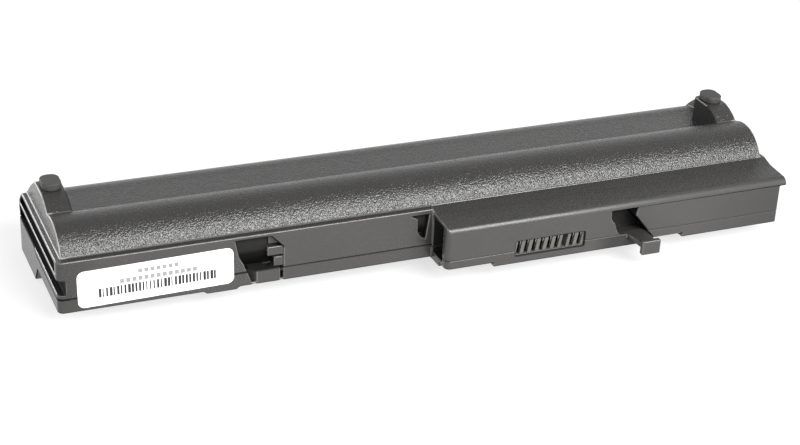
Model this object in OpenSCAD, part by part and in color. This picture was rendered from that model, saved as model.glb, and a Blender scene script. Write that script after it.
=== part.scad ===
// Laptop battery with one row of cells in a raised hump along the front and a second,
// lower row behind it. It lies bottom side up: +X runs along it, the connector looks
// towards -Y, and the two feet that the laptop stands on point up.

/* [Cells] */
// Diameter of a cell
cell_d = 18.2; // [17.8:0.1:18.6]
// Length of a cell, button included
cell_len = 65; // [64.5:0.1:65.5]
// Height of a cell's button
button_h = 0.8; // [0.6:0.1:1.2]
// Clearance between a cell and the case
cell_gap = 0.3; // [0.2:0.05:0.4]
// Distance from the front row back to the rear row
row_pitch = 25.3; // [24.5:0.1:27]
// How much lower the rear row lies
row_drop = 4.8; // [4:0.1:5.6]

/* [Case] */
// Wall over the hump
hump_wall = 1.5; // [1.2:0.1:2]
// Wall around the rear row and under both rows
wall = 0.8; // [0.8:0.1:1.2]
// Wall of the flat fronts, the ledge and the connector block
front_wall = 1.2; // [1:0.1:1.5]
// Wall at each end
end_wall = 1.4; // [1.2:0.1:1.8]
// Distance from the front face back to the front cells
front_space = 3.1; // [2.9:0.1:3.6]
// Height of the ledge in front of the hump
ledge_h = 14.6; // [14.2:0.1:15.2]
// Height of the parting line at the front
parting_h = 4; // [3.6:0.1:4.4]
// Radius of the upright corners
corner_r = 1.6; // [1:0.1:2]
// Length of the sloping step under the case
step_run = 3.4; // [2.5:0.1:4.5]

/* [End rails] */
// How far the flange at each end stands out
flange_out = 1.5; // [1.2:0.1:2]
// Thickness of a rail between two grooves
rail_t = 1; // [0.8:0.1:1.2]
// Height of the upper guide groove
groove_upper = 3.3; // [3:0.1:3.5]
// Height of the lower guide groove
groove_lower = 3.8; // [3.4:0.1:3.9]
// Depth of both guide grooves
groove_depth = 2; // [1.7:0.1:2.3]

/* [Connector block] */
// Length of the block along the case
block_len = 103.6; // [100:0.1:106]
// How far the block stands out in front
block_depth = 10; // [9.5:0.1:11.5]
// Height of the block's front edge
block_h = 13.3; // [12.9:0.1:13.8]
// Rounding of the block's front edge
block_round = 2; // [1.5:0.1:2.5]
// Height of the parting line in the block
block_parting = 3.4; // [3.2:0.1:3.6]
// Distance from the block's left side to the connector window
window_x = 20.6; // [19:0.1:22]
// Length of the connector window
window_len = 20.9; // [20.6:0.1:21.6]
// Height of the connector window
window_h = 4.3; // [4:0.1:4.6]
// Height of the window's lower edge
window_z = 2; // [1.8:0.1:2.2]

/* [Connector] */
// Distance from one contact to the next
contact_pitch = 2.3; // [2.2:0.05:2.35]
// Width of a contact's slot
slot_w = 1.2; // [1:0.05:1.3]
// Thickness of the contact metal
contact_t = 0.2; // [0.15:0.05:0.25]

/* [Hooks] */
// Distance from the left end to the left hook's niche
hook_x = 46; // [45.5:0.1:50]
// Distance from the block's left side to the right hook's niche
tongue_x = 49.8; // [49:0.1:52]
// How far the right hook reaches out of the block
tongue_out = 6.6; // [5:0.1:7]
// Thickness of a hook's bar
bar_t = 1.5; // [1.2:0.1:1.8]
// Length of a hook's bar
bar_len = 6.5; // [6:0.1:7]

/* [Feet and label] */
// Width of a foot pad
pad_w = 5.2; // [4.8:0.1:5.4]
// Length of a foot pad
pad_len = 6.8; // [6:0.1:7.2]
// Height of a foot pad over its lug
pad_h = 2; // [1.4:0.1:2.4]
// Height of the lug that carries a foot pad
lug_h = 22.9; // [22.6:0.1:23.4]
// Width of a lug at its top
lug_w = 6.6; // [6.4:0.1:7]
// Length of the label
label_len = 41.2; // [36:0.2:41.4]
// Height of the label
label_h = 10.4; // [9:0.1:10.8]
// Thickness of the label
label_t = 0.15; // [0.1:0.05:0.2]

/* [Inside] */
// Thickness of the nickel strips
strip_t = 0.2; // [0.15:0.05:0.25]
// Width of the nickel strips
strip_w = 7; // [6:0.5:8]
// Thickness of the insulating papers
paper_t = 0.2; // [0.15:0.05:0.25]
// Thickness of the foam discs at the ends
foam_t = 3; // [2.6:0.1:3.4]
// Length of the circuit board
board_len = 40; // [38:0.5:41]
// How far the board reaches to the right of the connector window
board_reach = 6.1; // [5:0.1:6.4]
// Thickness of the circuit board
board_t = 1; // [0.8:0.1:1.2]
// Height of the board's underside
board_z = 8.2; // [8:0.1:8.6]
// Diameter of the two main leads
lead_d = 1.4; // [1.2:0.1:1.5]
// Diameter of the sense leads
sense_d = 0.8; // [0.6:0.1:0.9]

/* [Hidden] */
CELLS = 3;
CONTACTS = [1, 2, 3, 4, 5, 6, 8, 9];
POSITIONS = 9;
$fn = 48;

// Rows of cells, in the case's own coordinates: y from the left front face, z from the front bottom
cell_r = cell_d / 2;
bay_r = cell_r + cell_gap;
front_y = front_space + cell_r;
front_z = wall + bay_r;
rear_y = front_y + row_pitch;
rear_z = front_z - row_drop;
hump_r = bay_r + hump_wall;
rear_r = bay_r + wall;
back_y = rear_y + rear_r;

// Length of the stack of cells, and of the case around it
cell_pitch = cell_len + strip_t;
stack = CELLS * cell_len + (CELLS - 1) * strip_t;
inner_half = stack / 2 + strip_t + paper_t + foam_t;
half = inner_half + end_wall;
flange_half = half + flange_out;

// The web between the hump and the rear row, and the channel inside it
web_top = rear_z + rear_r - 0.1;
channel_front = front_y + 0.8 * bay_r;
channel_rear = rear_y - 0.8 * bay_r;
step_y = 25.2;

// The connector block
block_right = half - 0.5;
block_left = block_right - block_len;
block_bottom = -0.3;
lip_z = block_h - 2.1;
side_pocket = 3.6;
window_left = block_left + window_x;
window_mid = window_left + window_len / 2;
tongue_left = block_left + tongue_x;
tongue_y = -block_depth - tongue_out;
raised_len = 14.2;
raised_depth = 4.8;
raised_z = 0.9;
notch_x = 63.4;
notch_len = 9.2;
notch_z = 1;
slope_y = 2.3;
slope_end = -1.3;
slope_h = block_h + 0.3;

// The hooks: width of their niches and how far each is from its case wall
hook_left = -half + hook_x;
niche_w = 12.4;
niche_top = ledge_h - 1.1;
niche_wall = 0.8;
tongue_niche_top = block_h - 2.2;
tongue_niche_depth = 5;
plate_t = 1.3;
plate_right = tongue_left + 11.2;
lip_x = tongue_left + 6.5;
lip_len = bar_len - 0.8;
bulge_depth = 0.7;

// The lugs and the feet
lug_front = front_y + 4.8;
lug_seat = lug_front + 6.3;
lug_seat_end = lug_seat + 7.7;
lug_lean = 0.6;
lug_round = 2.2;
arch_t = 2;
pad_y = lug_seat + 0.4 + pad_len / 2;
pad_x = half - 0.8 - pad_w / 2;
pad_round = 2.2;
pad_plug = 0.8;
pad_inset = 0.5;

// The label sits a little askew on the front face
label_turn = 1;
label_round = 1.8;

// The board sits on the connector housing and two posts, behind the block's front wall
board_left = window_left + window_len + board_reach - board_len;
board_front = -block_depth + front_wall + 0.2;
board_back = 2.2;
board_top = board_z + board_t;
post_w = 2;
floor_z = block_bottom + front_wall;
housing_front = -block_depth + 0.7;
housing_back = -3.4;

// Foam blocks fill the channel up to this height
foam_top = 9;

// Leads run along the top of the channel, then round the right end of the front row
lead_z = web_top - front_wall - lead_d / 2 - 0.4;
sense_y_1 = front_y + cell_r + sense_d / 2 + 0.3;
sense_y_2 = sense_y_1 + sense_d + 0.2;
sense_z_1 = lead_z - 0.6;
sense_z_2 = sense_z_1 + sense_d + 0.2;
lead_y = sense_y_2 + sense_d / 2 + lead_d / 2 + 0.3;
tail_x = stack / 2 + strip_t + paper_t;
sense_end_x = tail_x + sense_d / 2 + 0.1;
lead_end_x = sense_end_x + sense_d / 2 + lead_d / 2 + 0.2;
solder_x = board_left + board_len - 1.6;
turn_x = board_left + board_len + lead_d / 2 + 0.6;
positive_z = front_z - 3.5;
cutoff_x = 70.5;
cutoff_len = 11;
cutoff_y = front_y - cell_r - 1.2;

// The whole part stands with its lowest face at z = 0, centred on x and y
mid_y = (back_y + tongue_y) / 2;

// Draws a (y, z) profile and runs it along x
module along_x(x0, x1) {
    translate([x0, 0, 0])
        rotate([90, 0, 90])
            linear_extrude(x1 - x0)
                children();
}

// Draws an (x, z) outline and runs it along y
module along_y(y0, y1) {
    translate([0, y1, 0])
        rotate([90, 0, 0])
            linear_extrude(y1 - y0)
                children();
}

// Block between two corners
module box(low, high) {
    translate(low)
        cube(high - low);
}

// Cylinder along x
module rod_x(x0, x1, y, z, r) {
    translate([x0, y, z])
        rotate([0, 90, 0])
            cylinder(h = x1 - x0, r = r);
}

// Rectangle with round corners, its lower left corner at the origin
module rounded_rect(w, h, r) {
    translate([r, 0])
        square([w - 2 * r, h]);
    translate([0, r])
        square([w, h - 2 * r]);
    for (x = [r, w - r], y = [r, h - r])
        translate([x, y])
            circle(r);
}

// What is cut away to round an upright corner that points to (sx, sy)
module corner_cut(x, y, sx, sy) {
    translate([x, y, -row_drop - 5])
        linear_extrude(40)
            difference() {
                translate([sx > 0 ? -corner_r : -1, sy > 0 ? -corner_r : -1])
                    square(corner_r + 1);
                translate([-sx * corner_r, -sy * corner_r])
                    circle(corner_r);
            }
}

// Profile of everything above the parting line
module upper_region() {
    polygon([
        [-40, block_parting], [0, block_parting], [0, parting_h], [step_y, parting_h],
        [step_y + step_run, rear_z], [80, rear_z], [80, 60], [-40, 60]
    ]);
}

// Outer profile of the upper shell: the ledge, the hump, the web and the rear row
module upper_profile() {
    intersection() {
        union() {
            square([front_y, ledge_h]);
            translate([front_y, front_z])
                circle(hump_r, $fn = 96);
            translate([front_y, 0])
                square([row_pitch, web_top]);
            translate([rear_y, rear_z])
                circle(rear_r, $fn = 96);
        }
        upper_region();
    }
}

// Outer profile of the lower shell, with the step under the gap between the rows
module lower_profile() {
    polygon([
        [0, 0], [step_y, 0], [step_y + step_run, -row_drop], [back_y - 0.1, -row_drop],
        [back_y - 0.1, rear_z], [step_y + step_run, rear_z], [step_y, parting_h], [0, parting_h]
    ]);
}

// Profile of the connector block with its sloping, rounded top
module block_profile() {
    polygon([
        [slope_y, block_bottom], [slope_y, ledge_h], [slope_end, slope_h],
        [-block_depth + block_round, block_h], [-block_depth, block_h - block_round],
        [-block_depth, block_bottom]
    ]);
    translate([-block_depth + block_round, block_h - block_round])
        circle(block_round);
}

// What is cut from the ledge where it slopes down to the block
module ledge_slope() {
    along_x(block_left, flange_half + 1)
        polygon([
            [slope_y, ledge_h], [slope_y, ledge_h + 1], [slope_end, ledge_h + 1], [slope_end, slope_h]
        ]);
}

// The cells' bays and the channel between them
module cell_bays() {
    rod_x(-inner_half, inner_half, front_y, front_z, bay_r, $fn = 96);
    rod_x(-inner_half, inner_half, rear_y, rear_z, bay_r, $fn = 96);
    along_x(-inner_half, inner_half)
        polygon([
            [channel_front, wall], [step_y - 0.6, wall], [step_y + 1.2, wall - 1.2],
            [channel_rear, wall - 1.2], [channel_rear, web_top - front_wall],
            [channel_front, web_top - front_wall]
        ]);
}

// The space between the front wall and the front cells, left clear of the hook
module front_relief() {
    for (span = [[-inner_half, hook_left - 2], [hook_left + niche_w + 1.2, block_left - 8]])
        along_x(span[0], span[1])
            translate([front_wall, front_wall])
                square([front_y - front_wall, ledge_h - 2 * front_wall]);
}

// The room inside the connector block, narrow behind the right hook's niche
module block_room() {
    niche_back = -block_depth + tongue_niche_depth + front_wall;
    room_front = -block_depth + front_wall;
    raised_end = block_left + raised_len + front_wall;
    niche_end = tongue_left + 15.4;
    top = block_h - front_wall - 0.4;
    back = front_y - 0.75 * bay_r;
    box([block_left + side_pocket + front_wall, room_front, raised_z + front_wall], [raised_end, back, top]);
    box([raised_end - 1, room_front, floor_z], [tongue_left - 1.6, back, top]);
    box([tongue_left - 2, niche_back, floor_z], [niche_end + 1, back, top]);
    box([niche_end, room_front, notch_z + front_wall], [block_right - front_wall, back, top]);
}

// The two guide grooves in the end at side 1 or -1; the lower one runs out through the front
module end_grooves(side) {
    low = parting_h + rail_t + 0.4;
    mirror([side < 0 ? 1 : 0, 0, 0])
        along_x(flange_half - groove_depth, flange_half + 1)
            intersection() {
                union() {
                    translate([side < 0 ? -1 : -block_depth - 1, low])
                        square([60, groove_lower]);
                    translate([3, low + groove_lower + rail_t])
                        square([60, groove_upper]);
                }
                union() {
                    translate([-20, 0])
                        square([20 + rear_y, ledge_h]);
                    translate([rear_y, rear_z])
                        circle(rear_r - rail_t, $fn = 96);
                }
            }
}

// Material that always stays between a niche and the front cells
module bay_skin() {
    rod_x(-half, half, front_y, front_z, bay_r + niche_wall, $fn = 96);
}

// The niche of the left hook, with its leaning side and its cut corner
module left_niche() {
    difference() {
        along_y(-1, front_y - 0.72 * bay_r)
            translate([hook_left, 0])
                polygon([
                    [-0.8, niche_top], [0.3, 8.5], [1.4, 6.6], [4.4, -1], [niche_w, -1],
                    [niche_w, niche_top - 3.5], [niche_w - 3.4, niche_top]
                ]);
        bay_skin();
    }
}

// The left hook: a neck from the back of its niche, and a bar that points to +x
module left_hook() {
    bar_x = hook_left + 5.1;
    linear_extrude(parting_h)
        polygon([
            [hook_left + 3, front_y - 0.7 * bay_r], [hook_left + 7.8, front_y - 0.7 * bay_r],
            [hook_left + 7.8, bar_t], [bar_x + bar_len, bar_t], [bar_x + bar_len, 0],
            [bar_x, 0], [hook_left + 3.4, 2.6]
        ]);
}

// The steps in the right wall of the left hook's niche
module niche_steps() {
    right = hook_left + niche_w;
    back = front_y - 0.8 * bay_r;
    for (step = [[parting_h, 2.4, 2.9, 0.7], [parting_h + 3.3, 4.2, 2.7, 0.7], [parting_h + 6.4, 3.8, 2.9, 1.6]])
        box([right - step[1], step[3], step[0]], [right + 0.5, back, step[0] + step[2]]);
}

// The niche of the right hook in the block's front, open down to a slit at the hook's right
module right_niche() {
    along_y(-block_depth - 1, -block_depth + tongue_niche_depth)
        translate([tongue_left, 0])
            polygon([
                [-0.4, tongue_niche_top], [-0.1, 8.4], [1, 7.2], [1.5, 5.7], [2.1, 4.2], [3.2, block_parting],
                [plate_right - tongue_left, block_parting], [plate_right - tongue_left, 0.6],
                [13.9, 0.6], [7.3, 8.6], [7.8, tongue_niche_top]
            ]);
}

// The right hook: the niche's floor runs on as a plate, with a lip across its tip
module right_hook() {
    tip = tongue_y + bar_t;
    translate([0, 0, block_parting - plate_t])
        linear_extrude(plate_t)
            polygon([
                [tongue_left + 4.9, -block_depth + 1.7], [tongue_left + 5.2, -block_depth - 0.4],
                [tongue_left + 5.6, -block_depth - 2.4], [lip_x, tip - 0.3], [plate_right, tip - 0.3],
                [plate_right, -block_depth + 1.7]
            ]);
    box([lip_x, tongue_y, block_bottom], [lip_x + lip_len, tip, block_parting + 0.4]);
}

// The pocket in the block's left side, and the small one beside it in the front face
module side_pockets() {
    box([block_left - 1, -block_depth + 3, 2.2], [block_left + side_pocket, -0.6, block_h - 0.9]);
    difference() {
        along_y(-1, 2.6)
            translate([block_left, 0])
                polygon([
                    [-6.2, ledge_h - 1.5], [-4.4, ledge_h - 2.5], [-4.3, 8.6], [-3.9, 7.5], [-3.1, 6.5],
                    [-2, 5.9], [-1.2, ledge_h - 2.5], [-1.2, ledge_h - 1.5]
                ]);
        bay_skin();
    }
}

// The opening that the connector looks through
module connector_window() {
    box([window_left, -block_depth - 1, window_z],
        [window_left + window_len, -block_depth + front_wall + 1, window_z + window_h]);
}

// Room for the connector housing behind the block's front wall
module housing_room() {
    box([window_left - 0.8, housing_front, floor_z],
        [window_left + window_len + 0.8, -block_depth + front_wall + 0.5, board_z]);
}

// All that is cut from both shells
module shell_cuts() {
    cell_bays();
    front_relief();
    block_room();
    end_grooves(1);
    end_grooves(-1);
    connector_window();
    housing_room();
    side_pockets();
    corner_cut(-flange_half, 0, -1, -1);
    corner_cut(-flange_half, back_y, -1, 1);
    corner_cut(flange_half, back_y, 1, 1);
    corner_cut(block_left, -block_depth, -1, -1);
}

// Profile of a lug: a ramp up from the hump, the level seat and an arch down to the rear row
module lug_profile() {
    polygon([
        [lug_front, web_top - 0.8], [lug_front, front_z + 9.8], [lug_front + 2, lug_h - 1.6],
        [lug_front + 4, lug_h - 0.7], [lug_seat, lug_h], [lug_seat_end, lug_h],
        [rear_y - 4.4, lug_h - 1.2], [rear_y - 1.7, lug_h - 3], [rear_y + 0.9, lug_h - 4.9],
        [rear_y + 3.3, rear_z + rear_r + 0.5], [rear_y + 5.3, rear_z + rear_r - 1.5],
        [rear_y + 6.5, rear_z + rear_r - 3.4], [rear_y + 3, web_top - 0.8]
    ]);
}

// A lug seen from above: a block with a round inner corner that carries the foot pad, and a
// narrow arch that runs on along the end wall
module lug_plan() {
    inner = half - lug_w - lug_lean;
    translate([inner, 0])
        square([lug_w + lug_lean, lug_seat_end - lug_round]);
    translate([inner + lug_round, 0])
        square([lug_w + lug_lean - lug_round, lug_seat_end]);
    translate([inner + lug_round, lug_seat_end - lug_round])
        circle(lug_round);
    translate([half - arch_t, 0])
        square([arch_t, back_y]);
}

// The lug at the end at side 1 or -1, with an inner side that leans
module lug(side) {
    inner = half - lug_w;
    mirror([side < 0 ? 1 : 0, 0, 0])
        intersection() {
            along_x(inner - 1, half)
                lug_profile();
            along_y(0, back_y)
                polygon([
                    [inner - lug_lean, 0], [inner - lug_lean, ledge_h], [inner, lug_h + 1],
                    [half, lug_h + 1], [half, 0]
                ]);
            linear_extrude(lug_h + 1)
                lug_plan();
        }
}

// Outline of a foot pad, drawn smaller by the inset
module pad_outline(inset) {
    w = pad_w - 2 * inset;
    len = pad_len - 2 * inset;
    translate([-w / 2, -len / 2])
        rounded_rect(w, len, pad_round - inset);
}

// Pocket in a lug that takes the plug of its foot pad
module pad_seat(side) {
    translate([side * pad_x, pad_y, lug_h - pad_plug])
        linear_extrude(pad_plug + 1)
            pad_outline(pad_inset);
}

module upper_shell() {
    color("#2b2b2d")
    difference() {
        union() {
            difference() {
                along_x(-flange_half, flange_half)
                    upper_profile();
                for (side = [-1, 1])
                    mirror([side < 0 ? 1 : 0, 0, 0])
                        box([half, -1, ledge_h], [flange_half + 1, back_y + 1, 40]);
                left_niche();
                ledge_slope();
            }
            intersection() {
                along_x(block_left, block_right)
                    block_profile();
                along_x(block_left, block_right)
                    upper_region();
            }
            intersection() {
                along_x(block_right - 1, flange_half)
                    block_profile();
                box([block_right - 1, -block_depth - 1, lip_z], [flange_half, 0, 40]);
            }
            for (side = [-1, 1])
                lug(side);
            intersection() {
                niche_steps();
                along_x(-half, half)
                    upper_region();
            }
        }
        shell_cuts();
        right_niche();
        for (side = [-1, 1])
            pad_seat(side);
    }
}

module lower_shell() {
    color("#303032")
    union() {
        difference() {
            union() {
                difference() {
                    union() {
                        along_x(-flange_half, flange_half)
                            lower_profile();
                        bottom_bulge();
                    }
                    left_niche();
                }
                left_hook();
                difference() {
                    intersection() {
                        along_x(block_left, block_right)
                            block_profile();
                        box([block_left, -block_depth, block_bottom], [block_right, 1, block_parting]);
                    }
                    box([block_left - 1, -block_depth - 1, -1],
                        [block_left + raised_len, -block_depth + raised_depth, raised_z]);
                    box([block_left + notch_x, -block_depth - 1, -1],
                        [block_left + notch_x + notch_len, -block_depth + 2, notch_z]);
                    right_niche();
                }
                right_hook();
            }
            shell_cuts();
        }
        board_posts();
    }
}

// The low swelling under the case to the left of the left hook, with sloping ends
module bottom_bulge() {
    along_y(0, 5)
        polygon([
            [hook_left - 10, 0.5], [hook_left - 8.4, -bulge_depth], [hook_left - 0.4, -bulge_depth],
            [hook_left + 1.2, 0.5]
        ]);
}

// Two posts under the ends of the circuit board
module board_posts() {
    y = board_front + 1;
    for (post = [[board_left + 1, raised_z + 0.6], [board_left + board_len - 1 - post_w, floor_z - 0.4]])
        box([post[0], y, post[1]], [post[0] + post_w, y + post_w, board_z]);
}

module label() {
    color("white")
    along_y(-label_t, 0)
        translate([-half + 3.5 + label_len / 2, 1.3 + label_h / 2])
            rotate(label_turn)
                translate([-label_len / 2, -label_h / 2])
                    rounded_rect(label_len, label_h, label_round);
}

// Rubber foot: a cap with a plug under it
module foot_pad(side) {
    color("#1d1d1e")
    translate([side * pad_x, pad_y, lug_h]) {
        linear_extrude(pad_h)
            pad_outline(0);
        translate([0, 0, -pad_plug])
            linear_extrude(pad_plug)
                pad_outline(pad_inset);
    }
}

// Middle of a contact's slot; the seventh place holds a blank key
function slot_x(i) = window_mid + (i - (POSITIONS + 1) / 2) * contact_pitch;

module connector_housing() {
    color("#3a3a3c")
    difference() {
        box([window_left - 0.6, housing_front, floor_z],
            [window_left + window_len + 0.6, housing_back, board_z]);
        for (i = CONTACTS)
            box([slot_x(i) - slot_w / 2, housing_front - 1, window_z + 0.1],
                [slot_x(i) + slot_w / 2, housing_back - 1, window_z + window_h - 0.1]);
        for (i = CONTACTS)
            box([slot_x(i) - slot_w / 4, housing_back - 1.6, window_z + window_h - 0.2],
                [slot_x(i) + slot_w / 4, housing_back - 1.6 + contact_t, board_z + 1]);
        box([slot_x(7) - 0.8, housing_front - 1, window_z + 0.1],
            [slot_x(7) + 0.8, housing_front + 2.5, window_z + window_h - 0.1]);
    }
}

// Forked contact: two leaves along the slot's walls, a back plate and a tail up to the board
module contact(i) {
    leaf = slot_w / 2;
    front = housing_front + 0.6;
    back = housing_back - 1.6;
    color("#c9b27a")
    translate([slot_x(i), 0, 0]) {
        for (side = [-1, 1])
            mirror([side < 0 ? 1 : 0, 0, 0])
                box([leaf - contact_t, front, window_z + 0.3],
                    [leaf, back, window_z + window_h - 0.3]);
        box([-leaf, back, window_z + 0.3], [leaf, back + contact_t, window_z + window_h - 0.3]);
        box([-slot_w / 4, back, window_z + window_h - 0.4], [slot_w / 4, back + contact_t, board_z]);
    }
}

// Steel can in a plastic sleeve, with the crimp groove and the button at the +x end
module cell(i, y, z) {
    can = cell_len - button_h;
    translate([(i - (CELLS + 1) / 2) * cell_pitch - cell_len / 2, y, z])
        rotate([0, 90, 0])
            rotate_extrude($fn = 48)
                polygon([
                    [0, 0], [cell_r - 0.6, 0], [cell_r, 0.6], [cell_r, can - 4.4], [cell_r - 0.5, can - 3.9],
                    [cell_r - 0.5, can - 3.3], [cell_r, can - 2.8], [cell_r, can - 0.5],
                    [cell_r - 0.5, can], [3, can], [2.8, cell_len], [0, cell_len]
                ]);
}

module cell_front(i) {
    color("#2f6f9f")
    cell(i, front_y, front_z);
}

module cell_rear(i) {
    color("#2f6f9f")
    cell(i, rear_y, rear_z);
}

// Paper ring on a cell's shoulder, round the button
module ring(i, y, z) {
    x = (i - (CELLS + 1) / 2) * cell_pitch + cell_len / 2 - button_h;
    color("#e9e4d0")
    difference() {
        rod_x(x, x + paper_t, y, z, cell_r - 0.6);
        rod_x(x - 1, x + paper_t + 1, y, z, 3.4);
    }
}

// Nickel strip from the front row to the rear row in the gap that starts at x, with a
// solder tab that reaches up to its lead
module strip(x, tab_y, tab_z, tab_half) {
    color("#c8c8c4")
    along_x(x, x + strip_t) {
        link(strip_w / 2);
        translate([tab_y - tab_half, front_z - 2])
            square([2 * tab_half, tab_z - front_z + 2]);
    }
}

module strip_negative() {
    strip(-stack / 2 - strip_t, lead_y, lead_z + 0.5, 0.6);
}

module strip_middle_1() {
    strip(-cell_pitch / 2 - strip_t / 2, sense_y_1, sense_z_1 + 0.3, 0.4);
}

module strip_middle_2() {
    strip(cell_pitch / 2 - strip_t / 2, sense_y_2, sense_z_2 + 0.3, 0.4);
}

// The last strip has its tab in front, low beside the front cell's button
module strip_positive() {
    color("#c8c8c4")
    along_x(stack / 2, stack / 2 + strip_t) {
        link(strip_w / 2);
        translate([front_y - 7.4, positive_z - 1.1])
            square([5.4, 2.2]);
    }
}

// Outline of a link with round ends between the two rows' centres
module link(r) {
    lean = atan2(rear_z - front_z, row_pitch);
    reach = norm([row_pitch, rear_z - front_z]);
    translate([front_y, front_z])
        rotate(lean) {
            translate([0, -r])
                square([reach, 2 * r]);
            circle(r);
            translate([reach, 0])
                circle(r);
        }
}

// Paper over an end strip
module end_paper(side) {
    x = tail_x - paper_t;
    color("#d9d2b8")
    mirror([side < 0 ? 1 : 0, 0, 0])
        along_x(x, x + paper_t)
            link(strip_w / 2 + 0.6);
}

// Foam disc between an end paper and the end wall: 1 and 2 at the left, 3 and 4 at the right
module end_foam(i) {
    row = i % 2 == 1 ? [front_y, front_z] : [rear_y, rear_z];
    color("#4a4a4a")
    mirror([i < 3 ? 1 : 0, 0, 0])
        rod_x(tail_x, tail_x + foam_t, row[0], row[1], 4);
}

// Foam block in the channel between two cells
module spacer_foam(i) {
    middle = (i - (CELLS + 1) / 2) * cell_pitch;
    color("#4a4a4a")
    box([middle - cell_len / 2 + 6, front_y + cell_r + 0.1, wall],
        [middle + cell_len / 2 - 6, rear_y - cell_r - 0.1, foam_top]);
}

module circuit_board() {
    color("#1e5c34")
    box([board_left, board_front, board_z], [board_left + board_len, board_back, board_top]);
}

// A part on the board: place along it, depth from its front edge, and its size
module on_board(x, y, size) {
    translate([board_left + x, board_front + y, board_top])
        cube(size);
}

module gauge_chip() {
    color("#202020")
    on_board(5, 3, [6.4, 4.4, 1]);
}

module guard_chip() {
    color("#202020")
    on_board(15, 3, [3, 3, 1]);
}

module mosfet_charge() {
    color("#202020")
    on_board(21, 2.2, [5, 4, 1.5]);
}

module mosfet_discharge() {
    color("#202020")
    on_board(27, 2.2, [5, 4, 1.5]);
}

module fuse() {
    color("#e8e8e0")
    on_board(33.6, 2.2, [4, 3, 1]);
}

module sense_resistor() {
    color("#2c2c2c")
    on_board(22, 7.4, [6.4, 3, 0.6]);
}

module capacitor(i) {
    color("#b59a6a")
    on_board(5 + 3 * i, 8.4, [1.6, 0.8, 0.8]);
}

// Flat thermal cut-out in the positive lead, beside the last front cell
module thermal_cutoff() {
    color("#d8d8d4")
    translate([cutoff_x, cutoff_y - 0.9, positive_z - 1.5])
        cube([cutoff_len, 1.8, 3]);
}

// Bead thermistor on the board's rear edge, next to the cells
module thermistor() {
    color("#b03020")
    translate([board_left + 12, board_back - 1, board_top + 0.9])
        rotate([0, 90, 0])
            cylinder(h = 3, r = 0.9);
}

// Lead through a list of points; each run reaches a little past its bends
module lead(points, d) {
    last = len(points) - 1;
    for (i = [0 : last - 1]) {
        run = points[i + 1] - points[i];
        before = i > 0 ? 0.3 * d : 0;
        after = i < last - 1 ? 0.3 * d : 0;
        translate(points[i])
            rotate([0, atan2(norm([run.x, run.y]), run.z), atan2(run.y, run.x)])
                translate([0, 0, -before])
                    cylinder(h = norm(run) + before + after, d = d, $fn = 8);
    }
}

// From the last strip through the thermal cut-out to the board's right end
module lead_positive() {
    y = -2.8;
    z = board_top + 1.2;
    color("#b02020") {
        lead([
            [stack / 2 + strip_t, front_y - 6.4, positive_z], [lead_end_x, front_y - 6.4, positive_z],
            [lead_end_x, cutoff_y, positive_z], [cutoff_x + cutoff_len, cutoff_y, positive_z]
        ], lead_d);
        lead([
            [cutoff_x, cutoff_y, positive_z], [turn_x, cutoff_y, positive_z], [turn_x, y, positive_z],
            [turn_x, y, z], [solder_x, y, z], [solder_x, y, board_top]
        ], lead_d);
    }
}

// From the first strip along the channel and over the last front cell to the board
module lead_negative() {
    y = -1.2;
    z = board_top + 1.5;
    x = lead_end_x;
    color("#202020")
    lead([
        [-stack / 2, lead_y, lead_z], [x, lead_y, lead_z], [x, front_y + 6.3, lead_z],
        [x, front_y + 0.8, front_z + 6.2], [x, front_y - 5.2, front_z + 4.6], [x, front_y - 7.4, z],
        [x, y, z], [solder_x - 2.4, y, z], [solder_x - 2.4, y, board_top]
    ], lead_d);
}

module sense_lead_1() {
    y = 1.6;
    z = board_top + 0.9;
    x = sense_end_x;
    color("#d0b020")
    lead([
        [-cell_pitch / 2 + strip_t / 2, sense_y_1, sense_z_1], [x, sense_y_1, sense_z_1],
        [x, front_y + 6.1, sense_z_1], [x, front_y + 0.8, front_z + 5.2],
        [x, front_y - 4.6, front_z + 3.8], [x, front_y - 6.8, z], [x, y, z],
        [solder_x, y, z], [solder_x, y, board_top]
    ], sense_d);
}

module sense_lead_2() {
    y = 0.4;
    z = board_top + 1.9;
    x = sense_end_x;
    color("#3070c0")
    lead([
        [cell_pitch / 2 + strip_t / 2, sense_y_2, sense_z_2], [x, sense_y_2, sense_z_2],
        [x, front_y + 6.4, sense_z_2], [x, front_y + 0.8, front_z + 6.3],
        [x, front_y - 5.4, front_z + 4.6], [x, front_y - 8, z], [x, y, z],
        [solder_x - 1, y, z], [solder_x - 1, y, board_top]
    ], sense_d);
}

module placed() {
    translate([0, -mid_y, row_drop])
        children();
}

placed() upper_shell();
placed() lower_shell();
placed() label();
placed() foot_pad(-1);  // foot_pad_left
placed() foot_pad(1);  // foot_pad_right
placed() connector_housing();
for (i = CONTACTS)
    placed() contact(i);
for (i = [1 : CELLS]) {
    placed() cell_front(i);
    placed() cell_rear(i);
    placed() ring(i, front_y, front_z);
    placed() ring(i, rear_y, rear_z);
    placed() spacer_foam(i);
    placed() capacitor(i);
}
placed() strip_negative();
placed() strip_middle_1();
placed() strip_middle_2();
placed() strip_positive();
placed() end_paper(-1);  // end_paper_left
placed() end_paper(1);  // end_paper_right
for (i = [1 : 4])
    placed() end_foam(i);
placed() circuit_board();
placed() gauge_chip();
placed() guard_chip();
placed() mosfet_charge();
placed() mosfet_discharge();
placed() fuse();
placed() sense_resistor();
placed() thermal_cutoff();
placed() thermistor();
placed() lead_positive();
placed() lead_negative();
placed() sense_lead_1();
placed() sense_lead_2();
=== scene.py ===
"""Laptop battery pack, bottom side up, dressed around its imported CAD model.

x points right, y back and z up, as in the CAD. Meshes, lights and the settings that have a
unit are in metres. The places and patterns that the finishes use are in millimetres.
"""

import math

import bpy
from mathutils import Matrix, Vector


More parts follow.
